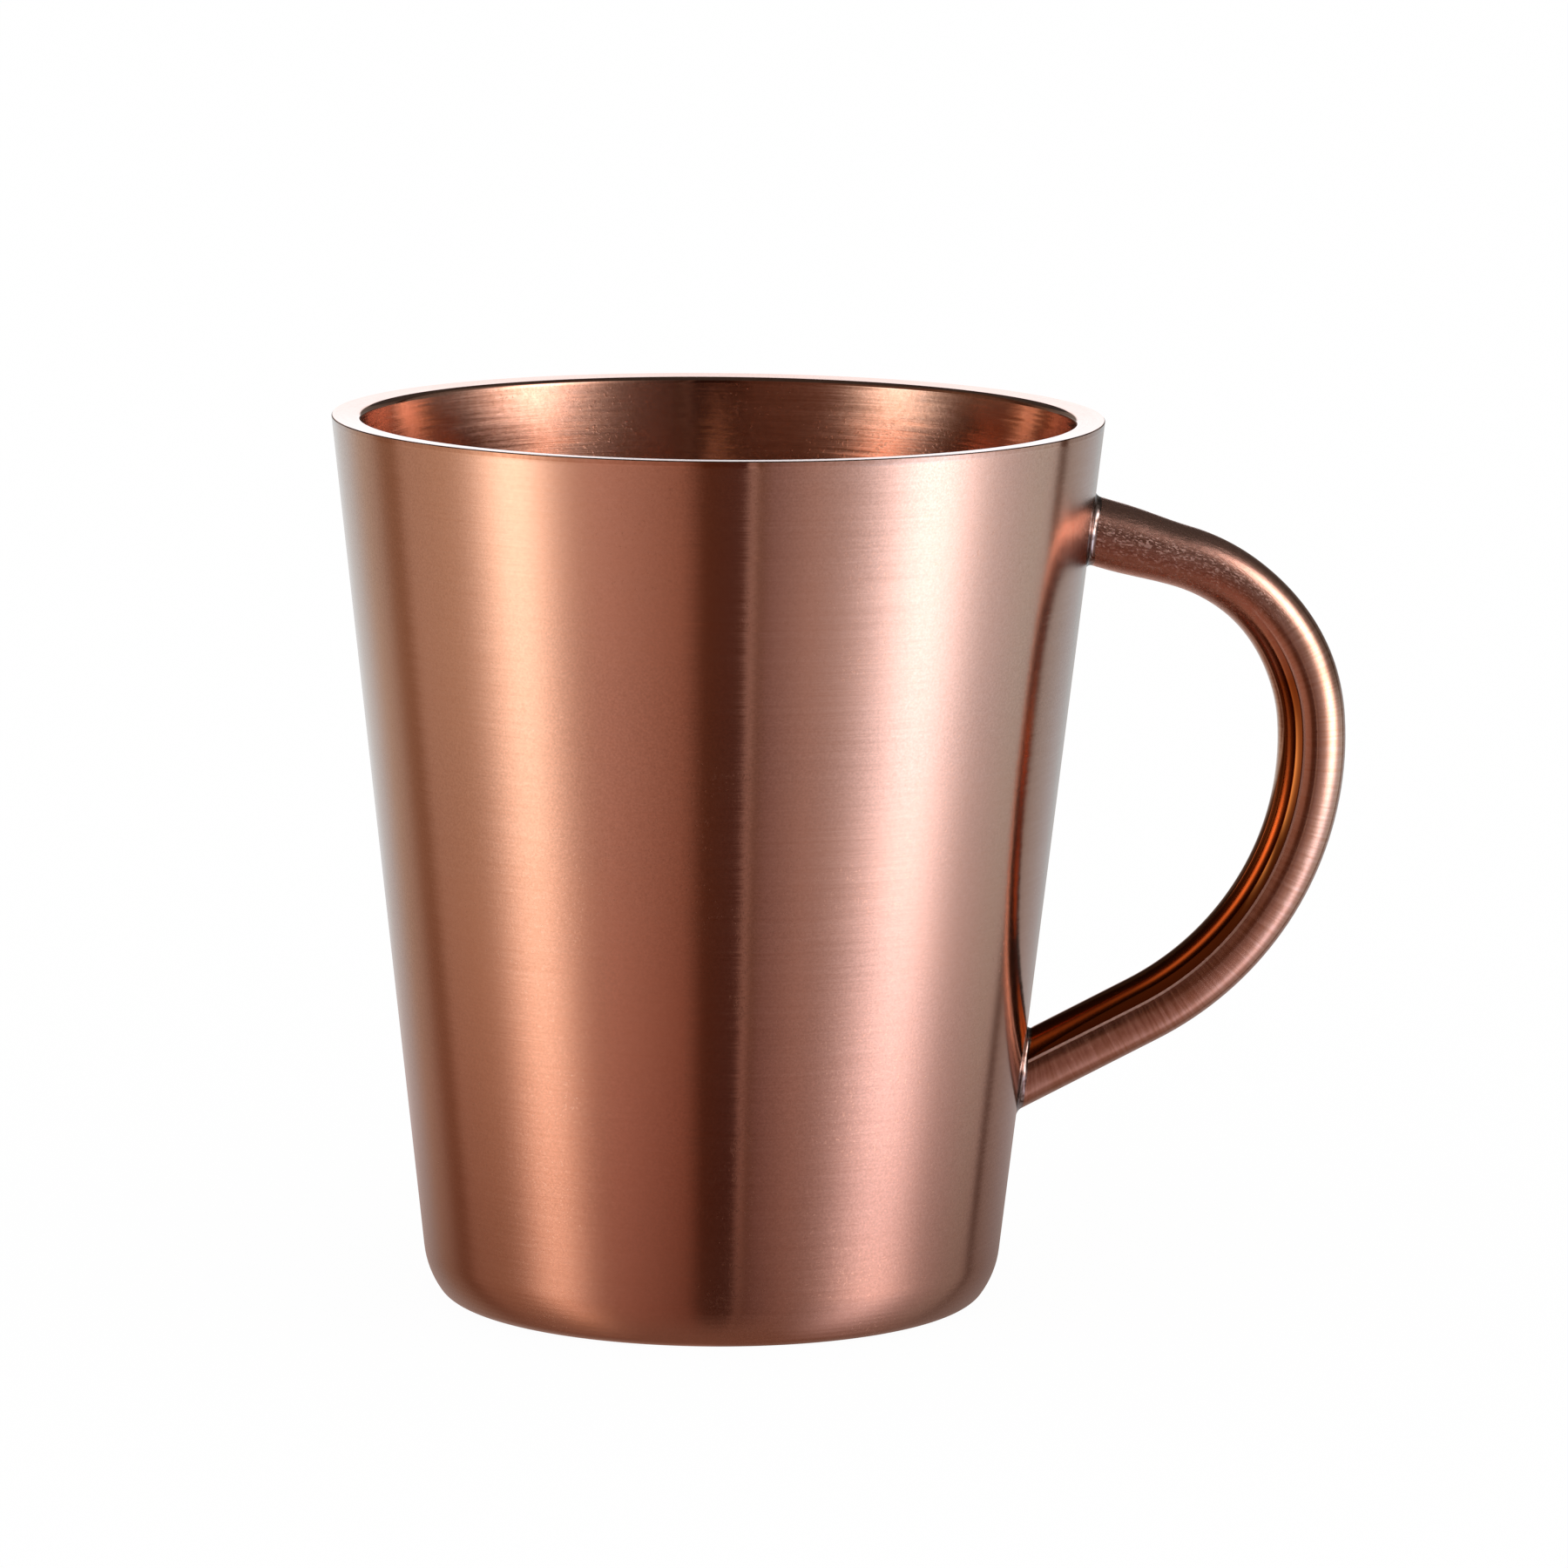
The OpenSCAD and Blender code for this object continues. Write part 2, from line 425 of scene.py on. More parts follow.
# How fine the noises of the plating are, in features per metre, from coarse to fine
CLOUD = 30.0
PATCHES = 70.0
RIPPLE = 1400.0
MOTTLE = 1500.0
SPECKS = 2600.0
GRIT = 3800.0
# Share of the darker tone in the finest grit
GRIT_SHARE = 0.28

# The strip on the tube, as places outwards from its centre line: where its edge away from the cup
# begins and is complete, and the painted highlight line beside it
STRIP_EDGE = (-0.35 * TUBE_R, -0.39 * TUBE_R)
BORDER_GLINT_START = (-0.27 * TUBE_R, -0.31 * TUBE_R)
BORDER_GLINT_END = (-0.38 * TUBE_R, -0.35 * TUBE_R)


class Graph:
    """Short forms for building one node tree."""

    def __init__(self, tree):
        self.tree = tree
        tree.nodes.clear()

    def add(self, kind, inputs=(), **settings):
        node = self.tree.nodes.new(kind)
        for key, value in settings.items():
            setattr(node, key, value)
        for key, value in dict(inputs).items():
            self.feed(node.inputs[key], value)
        return node

    def feed(self, socket, value):
        if isinstance(value, bpy.types.NodeSocket):
            self.tree.links.new(value, socket)
        else:
            socket.default_value = value

    def math(self, operation, a, b=0.0, c=0.0):
        return self.add("ShaderNodeMath", {0: a, 1: b, 2: c}, operation=operation).outputs[0]

    def scaled(self, vector, scale):
        node = self.add("ShaderNodeVectorMath", {0: vector, 1: scale}, operation="MULTIPLY")
        return node.outputs[0]

    def noise(self, vector, scale, detail=2.0, roughness=0.5):
        values = {"Vector": vector, "Scale": scale, "Detail": detail, "Roughness": roughness}
        return self.add("ShaderNodeTexNoise", values).outputs["Fac"]

    def ranged(self, value, low, high, to_low=0.0, to_high=1.0):
        values = {"Value": value, 1: low, 2: high, 3: to_low, 4: to_high}
        return self.add("ShaderNodeMapRange", values).outputs[0]

    def blended(self, factor, a, b):
        node = self.add("ShaderNodeMix", data_type="RGBA")
        self.feed(node.inputs["Factor"], factor)
        self.feed(node.inputs["A"], (*a, 1) if isinstance(a, tuple) else a)
        self.feed(node.inputs["B"], (*b, 1) if isinstance(b, tuple) else b)
        return node.outputs["Result"]

    def added(self, base, light, amount):
        """base plus amount times light"""
        extra = self.add("ShaderNodeVectorMath", {0: light, "Scale": amount}, operation="SCALE")
        total = self.add("ShaderNodeVectorMath", {0: base, 1: extra.outputs[0]}, operation="ADD")
        return total.outputs[0]


def new_material(name):
    material = bpy.data.materials.new(name)
    material.use_nodes = True
    return material, Graph(material.node_tree)


def metal(g, colour, roughness, height, relief, anisotropy, rotation, tangent, lean):
    """A Principled metal. relief is how deep, in metres, a full step of height is, and lean tips the
    surface along its tangent."""
    bump = g.add("ShaderNodeBump", {"Strength": 1.0, "Distance": relief, "Height": height})
    tip = g.add("ShaderNodeVectorMath", {0: tangent, "Scale": lean}, operation="SCALE").outputs[0]
    tipped = g.add("ShaderNodeVectorMath", {0: bump.outputs[0], 1: tip}, operation="ADD").outputs[0]
    normal = g.add("ShaderNodeVectorMath", {0: tipped}, operation="NORMALIZE").outputs[0]
    values = {
        "Base Color": colour,
        "Metallic": 1.0,
        "Roughness": roughness,
        "Normal": normal,
        "Anisotropic": anisotropy,
        "Anisotropic Rotation": rotation,
        "Tangent": tangent,
    }
    shader = g.add("ShaderNodeBsdfPrincipled", values)
    g.add("ShaderNodeOutputMaterial", {"Surface": shader.outputs[0]})


def turned_copper(name, light, dark, roughness, grain, streak, tilt, speck, anisotropy):
    """Copper plating brushed round the mug's axis. grain is (streak length, streak height) in metres,
    streak and speck are their depths in micrometres, and tilt is how far single streaks lean round
    the axis. The rim's flat face is polished."""
    material, g = new_material(name)
    place = g.add("ShaderNodeTexCoord").outputs["Object"]
    split = g.add("ShaderNodeSeparateXYZ", {0: place}).outputs
    radius = g.math("SQRT", g.math("ADD", g.math("MULTIPLY", split[0], split[0]),
                                   g.math("MULTIPLY", split[1], split[1])))
    profile = g.math("ADD", radius, split[2])
    turned = g.add("ShaderNodeCombineXYZ", {0: split[0], 1: split[1], 2: profile}).outputs[0]
    along_brush, across_brush = 1 / grain[0], 1 / grain[1]
    fine = g.noise(g.scaled(turned, (along_brush, along_brush, across_brush)), 1.0, 3.0, 0.6)
    long = g.noise(g.scaled(turned, (along_brush / 3, along_brush / 3, across_brush / 2)), 1.0, 2.0)
    mottle = g.noise(place, MOTTLE, 3.0, 0.6)
    cloud = g.noise(place, CLOUD, 3.0, 0.5)
    grit = g.noise(place, GRIT, 2.0, 0.7)
    gritty = g.math("MULTIPLY", g.ranged(grit, 0.35, 0.65), g.ranged(cloud, 0.35, 0.6, 0.25, 1.0))
    patches = g.ranged(g.noise(place, PATCHES, 2.0), 0.42, 0.60)
    specks = g.math("MULTIPLY", g.ranged(g.noise(place, SPECKS, 2.0, 0.6), 0.58, 0.72), patches)
    brushed = g.ranged(split[2], MUG_H - 0.75 * MM, MUG_H - 0.85 * MM, 0.06, 1.0)
    heel_marks = g.ranged(split[2], 2 * MM, 16 * MM, 1.0, 0.0)
    streaks = g.math("ADD", g.math("MULTIPLY", fine, 0.6), g.math("MULTIPLY", long, 0.4))

    tone = g.math("ADD", g.ranged(streaks, 0.36, 0.64, 0.0, 0.3), g.ranged(mottle, 0.3, 0.7, 0.0, 0.3))
    tone = g.math("ADD", tone, g.ranged(cloud, 0.3, 0.7, 0.0, 0.4))
    colour = g.blended(tone, dark, light)
    colour = g.blended(g.math("MULTIPLY", specks, 0.3), colour, dark)
    colour = g.blended(g.math("MULTIPLY", gritty, GRIT_SHARE), colour, GRIT_COPPER)

    rough = g.math("ADD", g.ranged(streaks, 0.3, 0.7, roughness - 0.02, roughness + 0.02),
                   g.math("MULTIPLY", specks, 0.12))
    rough = g.math("ADD", rough, g.math("MULTIPLY", heel_marks, 0.05))
    rough = g.math("MULTIPLY", rough, g.ranged(brushed, 0.0, 1.0, 0.45, 1.0))

    deeper = g.math("ADD", g.math("MULTIPLY", heel_marks, 2.5), 1.0)
    height = g.math("MULTIPLY", g.math("MULTIPLY", streaks, streak), deeper)
    height = g.math("SUBTRACT", height, g.math("MULTIPLY", specks, speck))
    height = g.math("MULTIPLY", height, brushed)
    tangent = g.add("ShaderNodeTangent", direction_type="RADIAL", axis="Z").outputs[0]
    lean = g.math("MULTIPLY", g.math("SUBTRACT", streaks, 0.5), g.math("MULTIPLY", brushed, tilt))
    metal(g, colour, rough, height, 1e-6, anisotropy, 0.25, tangent, lean)
    return material


def handle_copper(name, light, dark, deep):
    """Copper plating on the tube: ground lengthwise near the upper joint, cross-brushed elsewhere, and
    with a polished strip towards the cup, whose deep orange tone is painted shade and painted
    reflection of the copper wall."""
    material, g = new_material(name)
    strand = g.add("ShaderNodeAttribute", attribute_name="strand").outputs["Vector"]
    split = g.add("ShaderNodeSeparateXYZ", {0: strand}).outputs
    cross = g.noise(g.scaled(strand, (3600, 130, 130)), 1.0, 3.0, 0.6)
    ground = g.noise(g.scaled(strand, (900, 4200, 4200)), 1.0, 4.0, 0.65)
    # scratch flecks near the upper joint: real relief and roughness, while their lighter colour is
    # painted highlight
    flecks_and_glints = g.ranged(g.noise(g.scaled(strand, (1900, 5400, 5400)), 1.0, 2.0, 0.6), 0.54, 0.64)
    mottle = g.noise(strand, MOTTLE, 3.0, 0.6)
    specks = g.ranged(g.noise(strand, SPECKS, 2.0, 0.6), 0.60, 0.72)
    cloud = g.noise(strand, 60.0, 3.0, 0.5)
    near_upper = g.ranged(split[0], 0.015, 0.029, 1.0, 0.0)
    near_lower = g.ranged(split[0], 0.050, 0.085, 0.35, 1.0)
    # the strip's edge towards the cup lies beyond the tube's innermost line in the lower bend
    far_edge = g.ranged(split[0], 0.038, 0.055, -0.89 * TUBE_R, -1.10 * TUBE_R)
    past_edge = g.math("SUBTRACT", split[2], far_edge)
    edge = g.math("MULTIPLY", g.ranged(split[2], *STRIP_EDGE),
                  g.ranged(past_edge, -0.02 * TUBE_R, 0.02 * TUBE_R))
    bent = g.ranged(split[0], 0.020, 0.032)
    strip = g.math("MULTIPLY", edge, bent)
    # a thin painted highlight line along the strip's border, with real extra roughness
    border_glint = g.math("MULTIPLY", g.ranged(split[2], *BORDER_GLINT_START), g.ranged(split[2], *BORDER_GLINT_END))
    border_glint = g.math("MULTIPLY", border_glint, bent)
    satin = g.math("SUBTRACT", 1.0, strip)
    # keeps the painted fleck highlights off the tube's top, which reflects the dark above
    below_top = g.ranged(split[2], 0.55 * TUBE_R, 0.35 * TUBE_R)
    flecks_and_glints = g.math("MULTIPLY", g.math("MULTIPLY", flecks_and_glints, near_upper), below_top)

    grain = g.math("ADD", g.math("MULTIPLY", near_upper, ground),
                   g.math("MULTIPLY", g.math("SUBTRACT", 1.0, near_upper), cross))
    tone = g.math("ADD", g.ranged(grain, 0.36, 0.64, 0.0, 0.5), g.ranged(mottle, 0.3, 0.7, 0.0, 0.3))
    tone = g.math("ADD", tone, g.ranged(cloud, 0.3, 0.7, 0.0, 0.2))
    colour = g.blended(tone, dark, light)
    colour = g.blended(g.math("MULTIPLY", near_upper, 0.5), colour, GROUND_COPPER)
    # painted highlight: the scratch flecks lightened
    colour = g.blended(g.math("MULTIPLY", flecks_and_glints, 0.8), colour, FLECK_GLINT_COPPER)
    # painted highlight: the light line along the strip's border
    colour = g.blended(g.math("MULTIPLY", border_glint, 0.8), colour, FLECK_GLINT_COPPER)
    # painted shade and painted reflection of the copper wall: the polished strip's deep orange
    colour = g.blended(strip, colour, deep)

    rough = g.math("ADD", 0.05, g.math("MULTIPLY", satin, g.ranged(grain, 0.3, 0.7, 0.09, 0.16)))
    rough = g.math("ADD", rough, g.math("MULTIPLY", near_upper, 0.08))
    rough = g.math("ADD", rough, g.math("MULTIPLY", border_glint, 0.25))
    rough = g.math("ADD", rough, g.math("MULTIPLY", flecks_and_glints, 0.25))

    relief = g.math("MULTIPLY", g.math("MULTIPLY", near_upper, ground), 30.0)
    relief = g.math("ADD", relief, g.math("MULTIPLY", flecks_and_glints, 7.0))
    relief = g.math("ADD", relief, g.math("MULTIPLY", g.math("MULTIPLY", near_lower, cross), 5.0))
    relief = g.math("SUBTRACT", relief, g.math("MULTIPLY", specks, 2.0))
    height = g.math("ADD", g.math("MULTIPLY", relief, satin), g.math("MULTIPLY", strip, -45.0))
    tangent = g.add("ShaderNodeTangent", direction_type="UV_MAP", uv_map="wrap").outputs[0]
    brushed = g.math("MULTIPLY", g.math("SUBTRACT", 1.0, near_upper), 0.9)
    metal(g, colour, rough, height, 1e-6, brushed, 0.0, tangent, 0.0)
    return material


def seam_copper(name, light, dark):
    """Copper plating over a smooth weld."""
    material, g = new_material(name)
    place = g.add("ShaderNodeTexCoord").outputs["Object"]
    ripple = g.noise(place, RIPPLE, 2.0, 0.5)
    colour = g.blended(g.ranged(ripple, 0.35, 0.65), dark, light)
    rough = g.ranged(ripple, 0.3, 0.7, 0.06, 0.14)
    bump = g.add("ShaderNodeBump", {"Strength": 1.0, "Distance": 1e-5, "Height": ripple})
    values = {"Base Color": colour, "Metallic": 1.0, "Roughness": rough, "Normal": bump.outputs[0]}
    shader = g.add("ShaderNodeBsdfPrincipled", values)
    g.add("ShaderNodeOutputMaterial", {"Surface": shader.outputs[0]})
    return material


# ---------------------------------------------------------------------------------------------
# Camera and studio
# ---------------------------------------------------------------------------------------------

CAMERA_DISTANCE = 1.0
CAMERA_HEIGHT = 0.219
CAMERA_PITCH = math.radians(9.0)
CAMERA_YAW = math.radians(0.46)
CAMERA_ROLL = math.radians(0.54)
# How far the handle is turned towards the camera; here it points slightly away
HANDLE_TURN = math.radians(-2)
LENS_MM = 198.4


def make_camera():
    data = bpy.data.cameras.new("camera")
    data.lens = LENS_MM
    data.sensor_width = 36
    data.clip_start, data.clip_end = 0.05, 20
    camera = bpy.data.objects.new("camera", data)
    bpy.context.scene.collection.objects.link(camera)
    turned = Matrix.Rotation(HANDLE_TURN, 4, "Z")
    place = Matrix.Translation((0, -CAMERA_DISTANCE, CAMERA_HEIGHT))
    aim = Matrix.Rotation(-CAMERA_YAW, 4, "Z") @ Matrix.Rotation(math.pi / 2 - CAMERA_PITCH, 4, "X")
    camera.matrix_world = turned @ place @ aim @ Matrix.Rotation(CAMERA_ROLL, 4, "Z")
    bpy.context.scene.camera = camera


# What surrounds the mug near table level, as (bearing from the camera's side in degrees, light from
# there). Positive bearings are on the handle's side.
SURROUND = [
    (-180, (0.78, 0.78, 0.78)),
    (-165, (0.65, 0.77, 0.82)),
    (-150, (0.52, 0.63, 0.69)),
    (-136, (0.43, 0.41, 0.37)),
    (-129, (0.37, 0.325, 0.29)),
    (-122, (0.26, 0.17, 0.12)),
    (-116, (0.24, 0.145, 0.095)),
    (-110, (0.42, 0.32, 0.265)),
    (-92, (0.48, 0.37, 0.295)),
    (-60, (0.48, 0.375, 0.32)),
    (-36, (0.48, 0.325, 0.29)),
    (-11, (0.285, 0.155, 0.12)),
    (-4, (0.090, 0.033, 0.016)),
    (8.8, (0.070, 0.030, 0.025)),
    (9.8, (0.33, 0.25, 0.24)),
    (11.2, (0.33, 0.25, 0.24)),
    (12.4, (0.15, 0.092, 0.067)),
    (17, (0.235, 0.17, 0.175)),
    (30, (0.38, 0.31, 0.315)),
    (60, (0.41, 0.44, 0.50)),
    (100, (0.52, 0.585, 0.685)),
    (116, (0.45, 0.54, 0.59)),
    (123, (0.44, 0.50, 0.55)),
    (125.5, (0.11, 0.085, 0.075)),
    (128.5, (0.11, 0.085, 0.075)),
    (131, (0.32, 0.35, 0.37)),
    (150, (0.40, 0.48, 0.54)),
    (166, (0.47, 0.56, 0.60)),
    (172, (0.50, 0.52, 0.52)),
    (180, (0.53, 0.53, 0.52)),
]
# Two tall softboxes: bearing and light near the table, bearing and light above it, half width, and the
# elevations over which it ends
SOFTBOXES = [
    (-66, (0.88, 0.87, 0.80), -62, (2.6, 2.8, 2.9), 13.5, (14, 21)),
    (69, (1.04, 1.31, 1.79), 65, (3.5, 3.3, 3.4), 18.0, (40, 55)),
]
# Share of the surround's light that is left above the table
ROOM_SHARE = (0.27, 0.22, 0.19)
# Elevations between which the softboxes are dimmed, and the share left there
GAP = (4.5, 7.5, 9.5, 13)
GAP_SHARE = 0.3
# The lamps are taken to stand near the mug, so one part of it shows less of them in another: the share
# of all light left from the second reflection on, and the elevations below and above which that holds
SECOND_SHARE = 0.34
SECOND_AT = (-10, -4, 15.5, 17.5)
# Light from high up from the third reflection on, deep in the cup, and the elevations over which it
# comes in
OVERHEAD = (0.95, 0.95, 0.95)
OVERHEAD_AT = (28, 45)
# Behind the mug stands a narrow white backdrop. Above its top edge the room is dark.
BACKDROP_TOP = 14.5
BACKDROP = (1.25, 1.30, 1.38)
CEILING = (0.045, 0.045, 0.045)
UNDER = (0.34, 0.26, 0.23)
# How the table's own reflection falls off towards the mug, dimmed and warmed as painted shade and
# painted copper reflection, as (distance from its axis in metres, share)
TABLE_SHADE = [
    (0.035, (0.50, 0.36, 0.32)),
    (0.104, (0.73, 0.58, 0.55)),
    (0.187, (0.85, 0.76, 0.73)),
    (0.282, (0.94, 0.93, 0.94)),
    (0.340, (1.0, 1.0, 1.0)),
]
# The sheet of painted shade and painted copper reflection that stands in for the table, just under the
# mug, and half its side
TABLE_HALF = 0.6
TABLE_Z = -0.1 * MM
# Share of the floor's brightness that no shadow takes away, and half its side
FLOOR_GLOW = 0.97
FLOOR_HALF = 6.0


def sine(degrees):
    return math.sin(math.radians(degrees))


def ramp(g, factor, stops, low, high):
    """A colour ramp over factor, with its stops between low and high."""
    node = g.add("ShaderNodeValToRGB", {"Fac": g.ranged(factor, low, high)})
    elements = node.color_ramp.elements
    while len(elements) < len(stops):
        elements.new(0.5)
    for element, (place, light) in zip(elements, stops):
        element.position = (place - low) / (high - low)
        element.color = (*light, 1)
    return node.outputs[0]


def make_studio():
    """Only reflections see the surround and the softboxes; everything else sees plain white."""
    world = bpy.data.worlds.new("studio")
    bpy.context.scene.world = world
    world.use_nodes = True
    g = Graph(world.node_tree)
    direction = g.add("ShaderNodeTexCoord").outputs["Generated"]
    turned = g.add("ShaderNodeVectorRotate", {"Vector": direction, "Angle": -HANDLE_TURN},
                   rotation_type="Z_AXIS").outputs[0]
    split = g.add("ShaderNodeSeparateXYZ", {0: turned}).outputs
    height = split[2]
    radians = g.math("ARCTAN2", split[0], g.math("MULTIPLY", split[1], -1.0))
    bearing = g.math("MULTIPLY", radians, 180 / math.pi)
    to_side = g.math("ABSOLUTE", bearing)
    light = ramp(g, bearing, SURROUND, -180.0, 180.0)
    light = g.blended(g.ranged(height, sine(-6), sine(4)), light, g.scaled(light, ROOM_SHARE))
    raised = g.ranged(height, sine(-17), sine(-6))
    below_gap = g.ranged(height, sine(GAP[0]), sine(GAP[1]), 1.0, GAP_SHARE)
    above_gap = g.ranged(height, sine(GAP[2]), sine(GAP[3]), GAP_SHARE, 1.0)
    lit = g.math("MAXIMUM", below_gap, above_gap)
    for low_bearing, low_light, high_bearing, high_light, half_width, tops in SOFTBOXES:
        centre = g.ranged(raised, 0.0, 1.0, low_bearing, high_bearing)
        off = g.math("DIVIDE", g.math("SUBTRACT", bearing, centre), half_width)
        glow = g.math("EXPONENT", g.math("MULTIPLY", g.math("MULTIPLY", off, off), -1.0))
        ending = g.ranged(height, sine(tops[0]), sine(tops[1]), 1.0, 0.0)
        glow = g.math("MULTIPLY", g.math("MULTIPLY", glow, lit), ending)
        light = g.added(light, g.blended(raised, low_light, high_light), glow)
    backdrop = g.math("MULTIPLY", g.ranged(to_side, 171.0, 175.0), g.ranged(height, -0.05, 0.0))
    light = g.blended(backdrop, light, BACKDROP)
    over_top = g.ranged(height, sine(BACKDROP_TOP), sine(BACKDROP_TOP + 1.8))
    light = g.blended(g.math("MULTIPLY", over_top, g.ranged(to_side, 115.0, 140.0)), light, CEILING)
    light = g.blended(g.ranged(height, sine(40), sine(60)), light, CEILING)
    light = g.blended(g.ranged(height, -0.65, -0.95), light, UNDER)
    paths = g.add("ShaderNodeLightPath").outputs
    second = g.ranged(paths["Glossy Depth"], 1.4, 1.6)
    outside = g.math("ADD", g.ranged(height, sine(SECOND_AT[0]), sine(SECOND_AT[1]), 1.0, 0.0),
                     g.ranged(height, sine(SECOND_AT[2]), sine(SECOND_AT[3])))
    dimmed = g.scaled(light, (SECOND_SHARE, SECOND_SHARE, SECOND_SHARE))
    light = g.blended(g.math("MULTIPLY", second, outside), light, dimmed)
    third = g.ranged(paths["Glossy Depth"], 2.4, 2.6)
    high = g.ranged(height, sine(OVERHEAD_AT[0]), sine(OVERHEAD_AT[1]))
    light = g.blended(g.math("MULTIPLY", third, high), light, OVERHEAD)
    reflected = g.add("ShaderNodeBackground", {"Color": light, "Strength": 1.0})
    plain = g.add("ShaderNodeBackground", {"Color": (1, 1, 1, 1), "Strength": 1.0})
    mixed = g.add("ShaderNodeMixShader", {0: paths["Is Glossy Ray"], 1: plain.outputs[0],
                                          2: reflected.outputs[0]})
    g.add("ShaderNodeOutputWorld", {"Surface": mixed.outputs[0]})
    bpy.context.scene.view_settings.view_transform = "Standard"


def flat_square(name, half, z, material):
    mesh = bpy.data.meshes.new(name)
    corners = [(-half, -half, 0), (half, -half, 0), (half, half, 0), (-half, half, 0)]
    mesh.from_pydata(corners, [], [(0, 1, 2, 3)])
    mesh.materials.append(material)
    square = bpy.data.objects.new(name, mesh)
    square.location.z = z
    bpy.context.scene.collection.objects.link(square)
    return square


def make_table_shade():
    """A sheet on the table that only reflections meet: it dims and warms them near the mug, as painted
    shade and painted copper reflection.
    """
    material, g = new_material("table_shade")
    place = g.add("ShaderNodeTexCoord").outputs["Object"]
    distance = g.add("ShaderNodeVectorMath", {0: place}, operation="LENGTH").outputs["Value"]
    shade = ramp(g, distance, TABLE_SHADE, TABLE_SHADE[0][0], TABLE_SHADE[-1][0])
    clear = g.add("ShaderNodeBsdfTransparent", {"Color": shade}).outputs[0]
    g.add("ShaderNodeOutputMaterial", {"Surface": clear})
    sheet = flat_square("table_shade", TABLE_HALF, TABLE_Z, material)
    sheet.visible_camera = False
    sheet.visible_diffuse = False
    sheet.visible_transmission = False
    sheet.visible_shadow = False


def make_floor():
    material, g = new_material("pale_floor")
    place = g.add("ShaderNodeTexCoord").outputs["Object"]
    tint = g.blended(g.noise(place, 3.0), (0.93, 0.93, 0.93), (0.95, 0.95, 0.95))
    matt = g.add("ShaderNodeBsdfDiffuse", {"Color": tint, "Roughness": 0.5}).outputs[0]
    glow = g.add("ShaderNodeEmission", {"Color": (1, 1, 1, 1), "Strength": 1.0}).outputs[0]
    mixed = g.add("ShaderNodeMixShader", {0: FLOOR_GLOW, 1: matt, 2: glow}).outputs[0]
    g.add("ShaderNodeOutputMaterial", {"Surface": mixed})
    flat_square("floor", FLOOR_HALF, 0, material).visible_glossy = False


# ---------------------------------------------------------------------------------------------
# The mug
# ---------------------------------------------------------------------------------------------

make_camera()
make_studio()
make_floor()
make_table_shade()

COPPER = (0.96, 0.575, 0.425)
GRIT_COPPER = (0.42, 0.20, 0.13)
COPPER_DARK = (0.87, 0.47, 0.32)
CUP_DARK = (0.74, 0.36, 0.22)
# the cup's dark streak tone: brush streaks, deepened beyond the shell's dark tone as painted shade of
# the hollow
CUP_STREAK_SHADE = (0.62, 0.27, 0.15)
# painted shade and painted reflection of the copper wall, for the handle's strip towards the cup
STRIP_SHADE_AND_REFLECTION = (0.40, 0.115, 0.026)
GROUND_COPPER = (0.80, 0.42, 0.34)
# painted highlight colour for the scratch flecks and the strip's border line
FLECK_GLINT_COPPER = (1.0, 0.72, 0.62)
JOINT_LIGHT = (0.62, 0.50, 0.45)
JOINT_DARK = (0.30, 0.19, 0.15)

shell_metal = turned_copper(
    "shell_copper", COPPER, COPPER_DARK, roughness=0.17, grain=(9 * MM, 0.16 * MM), streak=0.8,
    tilt=0.04, speck=2.0, anisotropy=0.9,
)
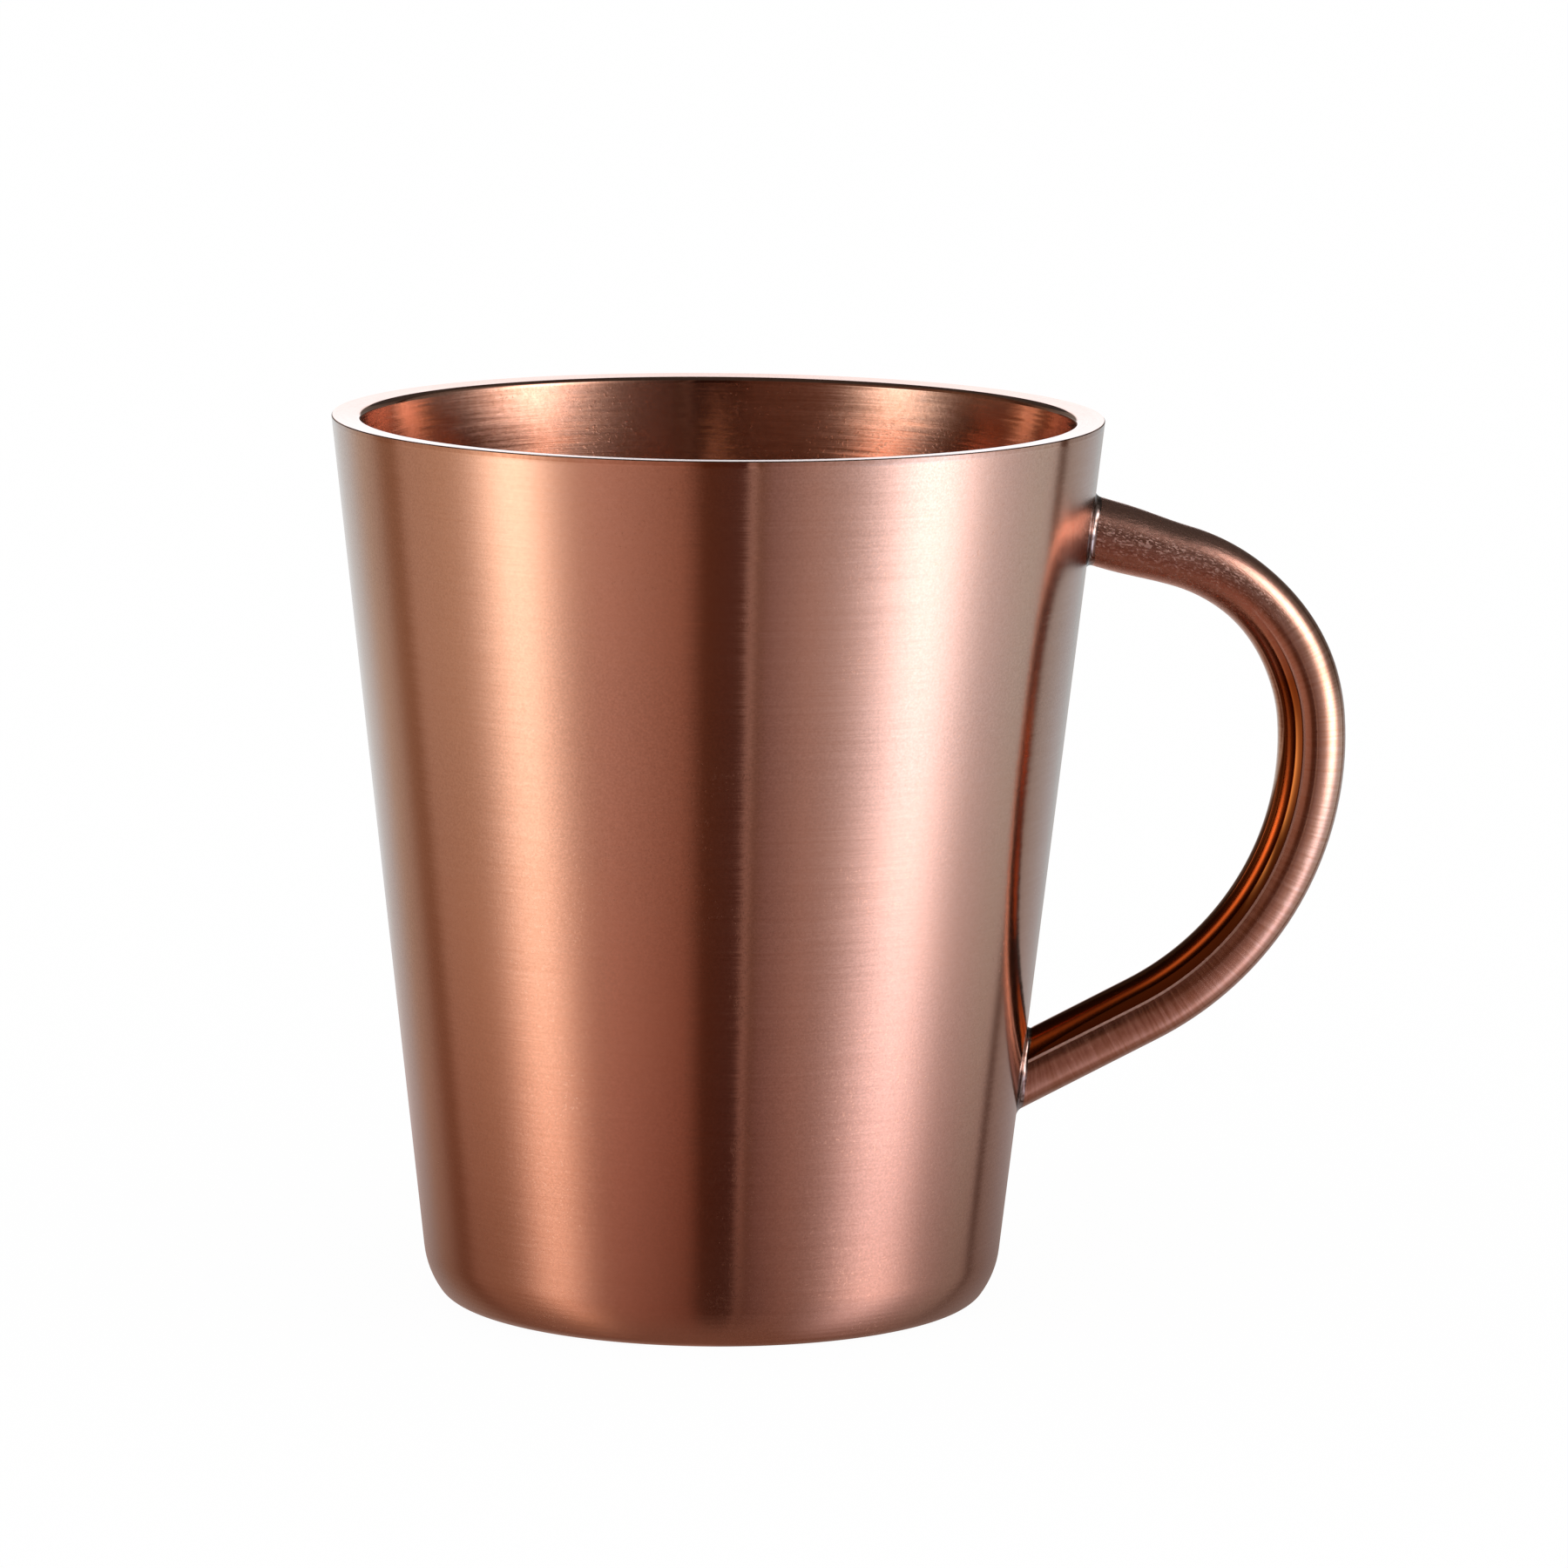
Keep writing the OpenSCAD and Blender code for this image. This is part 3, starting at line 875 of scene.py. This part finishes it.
# the cup's dark tone is brush streaks deepened as painted shade of the hollow
cup_metal = turned_copper(
    "cup_copper", COPPER, CUP_STREAK_SHADE, roughness=0.16, grain=(7 * MM, 0.25 * MM), streak=10.0,
    tilt=0.16, speck=6.0, anisotropy=0.75,
)
pan_metal = turned_copper(
    "pan_copper", COPPER, COPPER_DARK, roughness=0.26, grain=(5 * MM, 0.2 * MM), streak=4.0,
    tilt=0.10, speck=2.0, anisotropy=0.9,
)
handle_metal = handle_copper("handle_copper", COPPER, CUP_DARK, STRIP_SHADE_AND_REFLECTION)
seam_metal = seam_copper("seam_copper", COPPER, COPPER_DARK)
joint_metal = seam_copper("joint_copper", JOINT_LIGHT, JOINT_DARK)

foot_edge = 0.15 * MM
lathe(
    "brushed_shell",
    supported([
        (FOOT_OPEN_R, foot_edge),
        (FOOT_OPEN_R + foot_edge, 0),
        *heel(0),
        lip_corner(0, CUP_T),
        lip_corner(SHELL_T, CUP_T),
        *reversed(heel(SHELL_T)),
        (FOOT_OPEN_R, SHELL_T),
    ]),
    shell_metal, "outer_shell",
)

rim_edge = 0.12 * MM
lathe(
    "brushed_cup",
    supported([
        (0, FLOOR_Z),
        *floor_corner(0),
        *lip_edge(0),
        lip_corner(rim_edge, 0),
        lip_corner(0, rim_edge),
        lip_corner(0, CUP_T),
        *reversed(lip_edge(CUP_T)),
        *reversed(floor_corner(CUP_T)),
        (0, FLOOR_Z - CUP_T),
    ]),
    cup_metal, "inner_cup",
)

step_r = FOOT_OPEN_R - PAN_LEDGE
press_r = 1.0 * MM
lathe(
    "spun_base_pan",
    supported(rounded(
        [
            (0, PAN_RECESS),
            (step_r - PAN_STEP_W, PAN_RECESS),
            (step_r, SHELL_T),
            (PAN_R, SHELL_T),
            (PAN_R, SHELL_T + PAN_T),
            (step_r, SHELL_T + PAN_T),
            (step_r - PAN_STEP_W, PAN_TOP),
            (0, PAN_TOP),
        ],
        [0, press_r, press_r * 0.8, 0, 0, press_r * 0.8, press_r, 0],
    )),
    pan_metal, "base_pan",
)

bead = arc((FOOT_OPEN_R - BASE_WELD_LEG, SHELL_T - BASE_WELD_LEG), BASE_WELD_LEG, 0, math.pi / 2)
lathe(
    "base_seam",
    [(FOOT_OPEN_R, SHELL_T), *reversed(bead)],
    seam_metal, "base_weld",
)

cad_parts["rim_weld"].data.materials.clear()
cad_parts["rim_weld"].data.materials.append(seam_metal)

make_handle(handle_metal)
lower_end = handle_line()[2]
make_weld("upper_fillet", UPPER_Z, UPPER_DIP, joint_metal, "handle_weld_upper")
make_weld("lower_fillet", lower_end.z, -LOWER_RISE, joint_metal, "handle_weld_lower")
